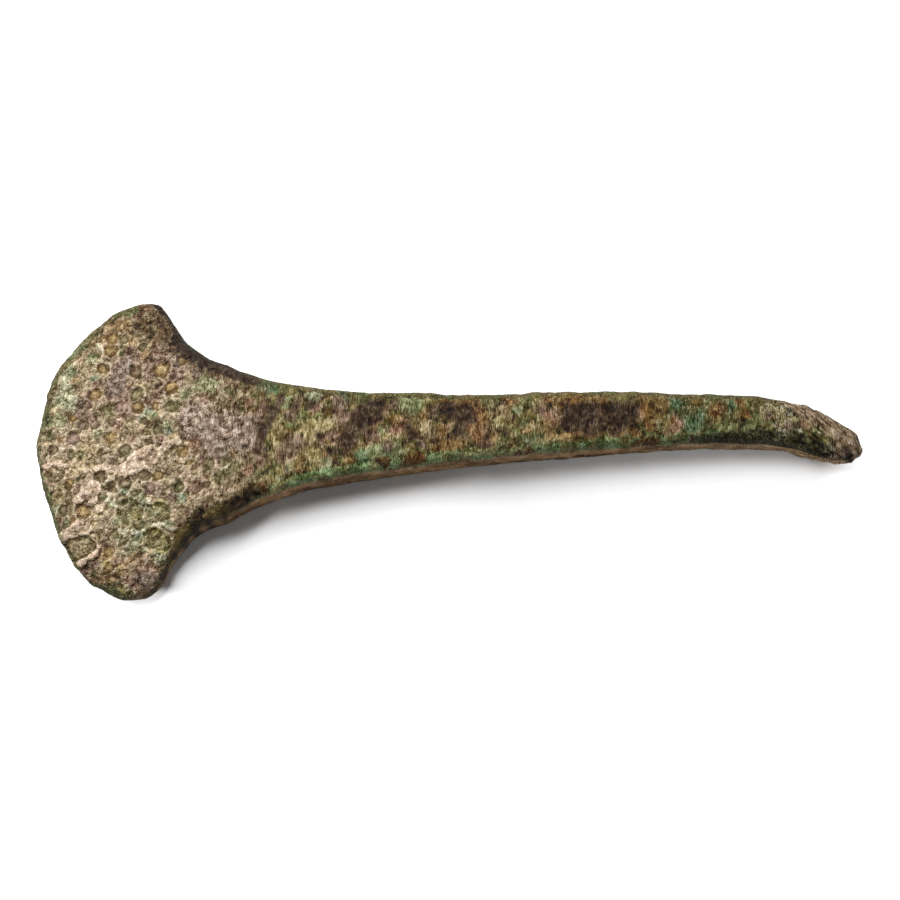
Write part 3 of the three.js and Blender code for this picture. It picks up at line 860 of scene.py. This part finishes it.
crust = coated(blend(patches[0].step(*half), tan, pink_tan), [
    (patches[1], 0.48, 0.58, 0.8, olive_tan),
    (patches[2], 0.48, 0.58, 0.8, light_tan),
    (patches[3], 0.5, 0.6, 0.7, warm_brown),
    (blister_red, 0.7, 0.72, 0.4, blister_pink),
    (blister_green, 0.76, 0.78, 0.4, blister_olive),
    (1 - blister_green, 0.78, 0.8, 0.4, blister_cream),
])
shank = coated(blend(patches[0].step(*half), shank_olive, shank_brown), [
    (patches[1], 0.48, 0.6, 0.7, shank_green),
    (patches[2], 0.48, 0.62, 0.7, shank_tan),
    (patches[4], 0.48, 0.6, 0.6, shank_dark),
])
shank = shank.mix(mask("far") * spots.step(*half) * 0.5, shank_green)

# Each later coat goes over the last. Where a mask is used as it is, the factor after it is the cover.
colour = coated(blend(blade, shank, crust), [
    *[(ragged(name), 0.2, 0.8, 0.8, tint) for name, (tint, _) in stains.items()],
    (ragged("umber"), 0.5, 0.9, 0.7, stains["umber"][0]),
])
cracks = (1 - blister_edge.step(0.02, 0.1)) * spots.step(0.42, 0.56)
colour = colour.mix(cracks * (0.25 + 0.3 * blade), crack_brown)
pebble_gaps = (1 - pebble_edge.step(0.02, 0.16)) * patches[1].step(0.4, 0.56, 0.25, 1.0) * blade
colour = colour.mix(pebble_gaps * 0.28, crack_brown)

# Pits: a floor in its own colour inside a thin dark line, a faint outline all round with painted shadow on
# the side towards the lamp, where the wall shades the floor, and outside it a painted highlight on the rim
# away from the lamp.
# An amber dome has a pale core. Places are shares of a pit's radius.
core_end = (0.2, 0.6)
line_start = (0.72, 0.9)
floor_end = (0.8, 0.98)
line_end = (0.95, 1.15)
highlight_start = (0.95, 1.05)
highlight_end = (1.1, 1.3)
pit_edge = mask("pit_edge") + (spots - 0.5) * 0.5 + (grit_speckle - 0.5) * 0.5
pit_strength = mask("pit_strength")
floor = (1 - pit_edge.step(*floor_end)) * pit_strength
pit_line = pit_edge.step(*line_start) * (1 - pit_edge.step(*line_end)) * pit_strength
colour = colour.mix(mask("hollow") * 0.55, blend(patches[0].step(*half), hollow_green, yellow_olive))
for name, tint, *_ in placed_kinds:
    colour = colour.mix(mask(name) * floor * 0.75, tint)
colour = coated(colour, [(ragged("plate", coarse=2.0, thin=1.4), 0.3, 0.9, 0.58, pink_cream)])
colour = colour.mix(mask("ledge") * 0.7, ledge_cream)
pit_core = (1 - pit_edge.step(*core_end)) * pit_strength * mask("amber")
colour = colour.mix(pit_core * 0.4, amber_light)
# Painted shadow on the side of each pit towards the lamp, over a faint dark outline all round
pit_shade = pit_line * mask("pit_lean").step(-0.8, 0.8, 0.1, 0.55) * spots.step(0.34, 0.56, 0.3, 1.0)
colour = colour.mix(pit_shade, pit_shadow_brown)
# Painted highlight just outside the rim, on the side of each pit away from the lamp
pit_highlight = pit_edge.step(*highlight_start) * (1 - pit_edge.step(*highlight_end)) * pit_strength
colour = colour.mix(pit_highlight * mask("pit_lean").step(-0.9, -0.1, 0.4, 0.0), pit_highlight_cream)
flake = mask("flake") + (grit_speckle - 0.5) * 0.25
flake_line = flake.step(-0.1, -0.04) * (1 - flake.step(-0.04, 0.02)) * patches[4].step(0.42, 0.58)
colour = colour.mix(flake_line * mask("up") * (0.15 + 0.25 * blade), line_brown)

colour = coated(colour, [(ragged("upper_horn"), 0.2, 0.9, 0.6, horn_brown)])
# Painted shade beside the shoulder, on its side that faces away from the lamp
colour = colour.mix(mask("shoulder_shade") * 0.7, shoulder_shade_brown)
shoulder_share = patches[2].step(0.45, 0.56, 0.2, 1.0) * mask("lower_side")
shoulder_colour = blend(shoulder_share, shoulder_brown, shoulder_olive)
tip_colour = blend(patches[1].step(0.42, 0.58) * 0.5, band_olive, band_green)
lower_green = blend(patches[0].step(*half), teal, deep_green)
lower_green = lower_green.mix(patches[2].step(0.48, 0.6) * 0.6, bevel_brown).mix(mask("far"), butt_dark)
upper_green = blend(patches[1].step(*half), band_green, band_olive)
upper_green = upper_green.mix(patches[3].step(0.44, 0.56) * 0.7, shank_brown).mix(0.14, line_brown)
colour = coated(colour, [
    (ragged("lower_horn"), 0.4, 1.1, 0.25, horn_brown),
    (ragged("shoulder"), 0.35, 0.9, 0.92, shoulder_colour),
    (ragged("tip_band", coarse=0.6, thin=0.3), 0.35, 0.75, 0.8, tip_colour),
    (ragged("lower_band"), 0.4, 0.9, 0.85, lower_green),
    (ragged("upper_band"), 0.4, 0.9, 0.65, upper_green),
    (ragged("pale"), 0.35, 0.8, 0.85, butt_grey),
])
# The side wall that faces the camera, away from the lamp, is its own pinkish brown painted lighter, as if
# lit by light thrown back from the card; the walls that face the lamp keep a darker patina
wall = blend(patches[0].step(*half), bounce_side_brown, side_dark)
wall = wall.mix(mask("far") * 0.5, bounce_side_light)
other_walls = mask("other_walls")
wall = wall.mix(other_walls, blend(patches[1].step(0.42, 0.58), band_olive, side_dark))
wall = wall.mix(other_walls * patches[2].step(0.48, 0.6) * 0.7, band_green)
colour = colour.mix(1 - mask("up").step(0.15, 0.65), wall)
# Black pits, and painted shade on the side wall
colour = coated(colour, [(ragged("black"), 0.3, 0.9, 0.9, line_brown)])

# Fine grains, with streaks across the shank, raise or lower all three display values alike,
# so that they change the tone and not the tint
display_gamma = 2.2
darkest = (0.06, 0.05, 0.03)
saturation = 1.13 - 0.07 * blade
colour = place.node("HueSaturation", {}, {"Saturation": saturation, "Color": colour})
# Painted shade: the colour darkens where the skin lies below the skin around it, in the wide hollows of the
# relief
high_shade = 0.97
deep_shade = 0.69
shade = mask("painted_hollow_shade").step(-1.0, 1.0, high_shade, deep_shade) * (1.0 + 0.04 * blade)
shade_colour = place.node("CombineColor", {}, {"Red": shade, "Green": shade, "Blue": shade})
colour = colour.mix(1.0, shade_colour, "MULTIPLY")
dust_tone = 1.15 - 0.6 * streaky
pebble_tone = 0.14
patch_tone = 0.4
stripe_tone = 0.7
cavity_shade_tone = 0.3
shoulder_calm = 0.5
umber_calm = 0.35
floor_calm = 0.4
tone = (dust - 0.5) * dust_tone + (pebble_red - 0.5) * pebble_tone * blade + (patches[3] - 0.5) * patch_tone
tone = tone + (streaks - 0.5) * streaky + (stripes - 0.5) * mask("pale") * stripe_tone
# Painted shade and highlight: the tone drops in the small cavities of the relief and rises on its bumps
tone = tone + (0.5 - mask("painted_cavity_shade").step(-1.2, 1.2)) * cavity_shade_tone
tone = tone * (1 - shoulder_calm * mask("shoulder")) * (1 - floor_calm * floor)
tone = tone * (1 - umber_calm * mask("umber").step(0.0, 1.0))
displayed = place.node("Gamma", {}, {"Color": colour, "Gamma": 1 / display_gamma})
tone_vector = place.node("CombineXYZ", {}, {"X": tone, "Y": tone, "Z": tone})
displayed = displayed.vector("ADD", tone_vector).vector("MAXIMUM", darkest)
colour = place.node("Gamma", {}, {"Color": displayed, "Gamma": display_gamma})
# Painted glints: white specks and curls on the butt's crust
colour = colour.mix(mask("white").step(0.2, 0.6) * grit_speckle.step(0.56, 0.64) * 0.6, glint_white)
curl_middle = place.node("Math", {"operation": "ABSOLUTE"}, {0: patches[0] + spots - 1.0})
glint_curls = (1 - curl_middle.step(0.01, 0.05)) * mask("white").step(0.2, 0.8) * streaks.step(*half)
colour = colour.mix(glint_curls * 0.8, glint_white)
# Painted glints: light hairs in the umber and plum patches of the shank
hair_glints = streaks.step(0.6, 0.72) * (mask("umber") + mask("plum")).step(0.2, 0.8) * streaky
colour = colour.mix(hair_glints * 0.35, hair_glint_tan)
# Painted glints: white specks on the face, most of them on the lilac crust
glints = speckle(size=0.3, detail=1.0, roughness=0.5, seed=11).step(0.7, 0.76)
glints = glints * mask("up") * mask("lilac").step(0.0, 0.5, 0.15, 1.0)
colour = colour.mix(glints * (1 - mask("shoulder")), glint_white)

tree.links.new(colour.socket, surface.inputs["Base Color"])
roughest = 0.78
smoothest = 0.5
sheen = 0.25
rough = grit_speckle.step(0.34, 0.66, roughest, smoothest)
tree.links.new(rough.socket, surface.inputs["Roughness"])
surface.inputs["Specular IOR Level"].default_value = sheen

bump_distance = 0.3 * MM
cell_bumps = 0.25 * pebble_edge.step(0.0, 0.3) + 0.3 * blister_edge.step(0.0, 0.3)
bumps = 0.35 * grit_speckle + 0.35 * dust + 0.6 * spots + blade * cell_bumps
bumps = bumps + 0.5 * streaks * streaky + 0.5 * stripes * mask("pale")
bump = place.node("Bump", {}, {"Distance": bump_distance, "Height": bumps})
tree.links.new(bump.socket, surface.inputs["Normal"])

casting.data.materials.clear()
casting.data.materials.append(patina)
casting.data.shade_smooth()
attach(casting, "root")
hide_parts("chisel_casting")

# The ground: a plain white card that keeps the chisel's shadow. Only the camera sees it lighter than it is:
# painted light lifts the shadow a little towards the butt, and more beside the neck and under the lower
# horn, and the card glows above the shank, beyond both ends and far from the chisel, so that the open card
# reads as white.
ground_half = 3.0
card_white = 0.8
camera_white = 1.0
card_red = 0.99
card_blue = 1.01
base_glow = 0.05
butt_glow = 0.12
butt_glow_along = (-0.02, 0.05)
end_glow = 0.8
left_end_along = (-0.06, -0.052)
right_end_along = (0.062, 0.07)
upper_glow = 0.4
upper_glow_across = (0.008, 0.014)
far_glow = 0.5
far_glow_across = (0.0225, 0.028)
horn_glow = 0.42
horn_glow_across = (0.0228, 0.0245)
horn_end_along = (-0.0485, -0.045)
# The glow beside the neck starts along a slanting line, which dips at the lower shoulder
neck_glow = 0.22
neck_slope = 0.187
neck_edge = -0.0025
neck_dip = 0.0035
neck_dip_along = (-0.036, -0.028)
neck_start_along = (-0.0415, -0.0315)
neck_end_along = (-0.008, 0.012)
neck_glow_across = (0.0012, 0.004)

bpy.ops.object.select_all(action="DESELECT")
bpy.ops.mesh.primitive_plane_add(size=2 * ground_half, location=(0, 0, 0))
ground = bpy.context.active_object
ground.name = "ground"
card = bpy.data.materials.new("white_card")
card.use_nodes = True
card_tree = card.node_tree
card_tree.nodes.clear()
seen = Shade(card_tree.nodes.new("ShaderNodeLightPath").outputs["Is Camera Ray"])
brightness = seen.step(0.0, 1.0, card_white, camera_white)
card_channels = {"Red": brightness * card_red, "Green": brightness, "Blue": brightness * card_blue}
card_colour = seen.node("CombineColor", {}, card_channels)
diffuse = seen.node("BsdfDiffuse", {}, {"Color": card_colour})
card_place = Shade(card_tree.nodes.new("ShaderNodeTexCoord").outputs["Object"])
card_along = card_place.node("SeparateXYZ", {}, {"Vector": card_place}, "X")
card_across = card_place.node("SeparateXYZ", {}, {"Vector": card_place}, "Y")
from_axis = card_across.node("Math", {"operation": "ABSOLUTE"}, {0: card_across})
below_neck = card_along * neck_slope + neck_edge - card_across
below_neck = below_neck - card_along.step(*neck_dip_along, neck_dip, 0.0)
neck_part = card_along.step(*neck_start_along) * (1 - card_along.step(*neck_end_along))
horn_part = 1 - card_along.step(*horn_end_along)
glow = base_glow + card_along.step(*butt_glow_along, 0.0, butt_glow)
glow = glow + from_axis.step(*far_glow_across, 0.0, far_glow)
glow = glow + horn_part * from_axis.step(*horn_glow_across, 0.0, horn_glow)
glow = glow + card_across.step(*upper_glow_across, 0.0, upper_glow)
glow = glow + neck_part * below_neck.step(*neck_glow_across, 0.0, neck_glow)
glow = glow + card_along.step(*right_end_along, 0.0, end_glow)
glow = glow + card_along.step(*left_end_along, end_glow, 0.0)
light = seen.node("Emission", {}, {"Strength": seen * glow})
both = seen.node("AddShader", {}, {0: diffuse, 1: light})
card_output = card_tree.nodes.new("ShaderNodeOutputMaterial")
card_tree.links.new(both.socket, card_output.inputs["Surface"])
ground.data.materials.append(card)

# The light: one large, soft, square lamp at the upper left of the view, and a weak white room, which the
# camera sees as pure white.
key_place = Vector((-0.22, 0.238, 0.42))
key_size = 0.32
key_watts = 3.75
room_strength = 0.05

key_data = bpy.data.lights.new("key_light", "AREA")
key_data.shape = "SQUARE"
key_data.size = key_size
key_data.energy = key_watts
key = bpy.data.objects.new("key_light", key_data)
bpy.context.scene.collection.objects.link(key)
key.location = key_place
key.rotation_euler = (-key_place).to_track_quat("-Z", "Y").to_euler()

world = bpy.data.worlds.new("white_room")
bpy.context.scene.world = world
world.use_nodes = True
world_tree = world.node_tree
background = world_tree.nodes["Background"]
background.inputs["Color"].default_value = (1, 1, 1, 1)
world_path = Shade(world_tree.nodes.new("ShaderNodeLightPath").outputs["Is Camera Ray"])
world_tree.links.new(world_path.step(0.0, 1.0, room_strength, 1.0).socket, background.inputs["Strength"])

# The camera: a long lens that looks steeply down and towards +Y. It is aimed so that the chisel lies in
# the picture where it does in the photograph, whose places are in pixels.
camera_elevation = math.radians(79)
lens = 150
sensor = 36
picture_pixels = 900
chisel_pixels = 824
chisel_middle_pixels = (449, 451)

view_back = Vector((0, -math.cos(camera_elevation), math.sin(camera_elevation)))
view_up = Vector((0, math.sin(camera_elevation), math.cos(camera_elevation)))
picture_width = (cad_high.x - cad_low.x) * picture_pixels / chisel_pixels
pixel = picture_width / picture_pixels
points = read_vertices(casting, "co")
rise = points @ np.array(view_up)
middle_x = (points[:, 0].max() + points[:, 0].min()) / 2
middle_rise = (rise.max() + rise.min()) / 2
aim = Vector((middle_x, 0, 0)) + view_up * middle_rise
aim.x += (picture_pixels / 2 - chisel_middle_pixels[0]) * pixel
aim -= view_up * (picture_pixels / 2 - chisel_middle_pixels[1]) * pixel
camera_data = bpy.data.cameras.new("camera")
camera_data.lens = lens
camera_data.sensor_width = sensor
camera = bpy.data.objects.new("camera", camera_data)
bpy.context.scene.collection.objects.link(camera)
camera.location = aim + view_back * (picture_width * lens / sensor)
camera.rotation_euler = (-view_back).to_track_quat("-Z", "Y").to_euler()
bpy.context.scene.camera = camera
bpy.context.scene.view_settings.view_transform = "Standard"
